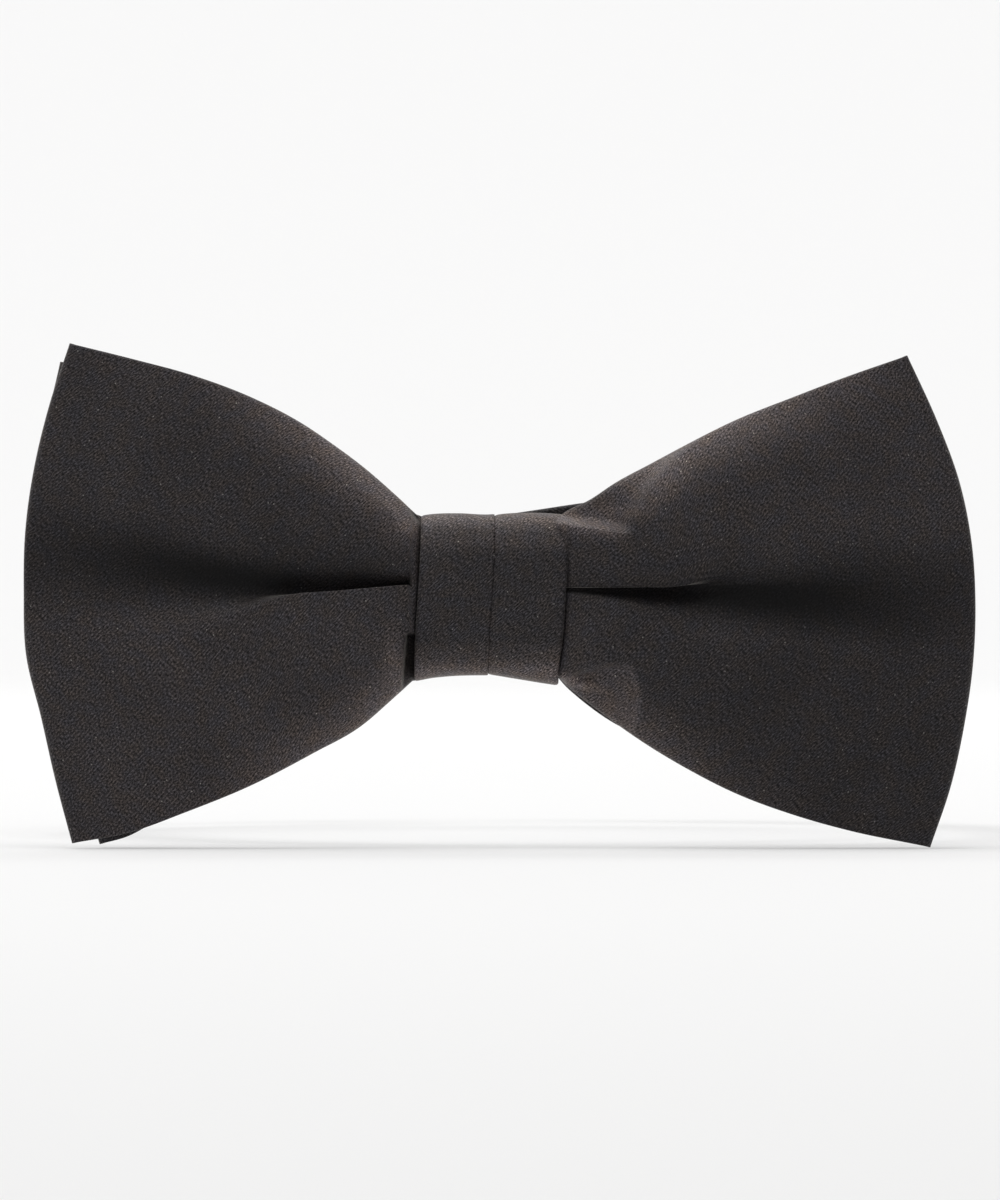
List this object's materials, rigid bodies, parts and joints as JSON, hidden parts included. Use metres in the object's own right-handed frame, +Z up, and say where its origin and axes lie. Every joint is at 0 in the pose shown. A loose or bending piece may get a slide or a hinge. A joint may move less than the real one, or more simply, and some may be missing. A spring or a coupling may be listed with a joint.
{
  "type": "bow tie",
  "caption": "Pre-tied butterfly bow tie: stacked padded wings gathered by a knot wrap on an adjustable neckband with slider, hook and eye.",
  "frame": {"origin": "centre of the neck loop, at the middle of the neckband's width", "axes": "+Z up along the neck, -Y towards the front of the bow, +X to the right of someone who looks at the bow"},
  "size_m": [0.1246, 0.1462, 0.0636],
  "materials": {
    "bow_satin": "near-black satin twill with a soft sheen",
    "knot_satin": "near-black satin twill, pleated",
    "band_satin": "near-black satin, pressed flat and interlined",
    "interlining": "matt felted wool interlining, dark grey",
    "thread": "matt polyester sewing thread, black",
    "clasp_metal": "black enamel on formed wire and sheet"
  },
  "bodies": {
    "bow": {"front_bow_cover": "bow_satin", "front_bow_interlining": "interlining", "rear_bow_cover": "bow_satin", "rear_bow_interlining": "interlining", "gather_thread": "thread", "knot_wrap": "knot_satin", "knot_interlining": "interlining", "knot_closing_stitches": "thread", "band_centre_cover": "band_satin", "band_centre_interlining": "interlining", "band_tack_stitches": "thread"},
    "short_band": {"short_band_cover": "band_satin", "short_band_interlining": "interlining", "short_band_stitches": "thread"},
    "eye": {"eye": "clasp_metal"},
    "long_band": {"long_band_cover": "band_satin", "long_band_interlining": "interlining"},
    "slider": {"slider_frame": "clasp_metal", "band_over_slider": "band_satin", "slider_loop": "band_satin", "slider_loop_stitches": "thread"},
    "hook_end": {"long_band_return": "band_satin"},
    "hook": {"hook": "clasp_metal"}
  },
  "joints": [
    {"name": "short_band_swing", "type": "hinge", "parent": "bow", "child": "short_band", "pos_m": [-0.01145, -0.06093, 0], "axis": [0, 0, 1], "range_deg": [0, 30]},
    {"name": "long_band_swing", "type": "hinge", "parent": "bow", "child": "long_band", "pos_m": [0.01145, -0.06093, 0], "axis": [0, 0, -1], "range_deg": [0, 30]},
    {"name": "eye_pivot", "type": "hinge", "parent": "short_band", "child": "eye", "pos_m": [-0.01937, 0.05961, 0], "axis": [0, 0, 1], "range_deg": [-60, 60]},
    {"name": "slider_slide", "type": "hinge", "parent": "long_band", "child": "slider", "pos_m": [0, 0, 0], "axis": [0, 0, 1], "range_deg": [-56, 6]},
    {"name": "hook_end_follow", "type": "hinge", "parent": "slider", "child": "hook_end", "pos_m": [0, 0, 0], "axis": [0, 0, 1], "range_deg": [-3, 28]},
    {"name": "hook_pivot", "type": "hinge", "parent": "hook_end", "child": "hook", "pos_m": [0.01953, 0.06011, 0], "axis": [0, 0, 1], "range_deg": [-35, 35]}
  ],
  "couplings": [
    {"joint": "hook_end_follow", "follows": "slider_slide", "ratio": -0.5}
  ]
}
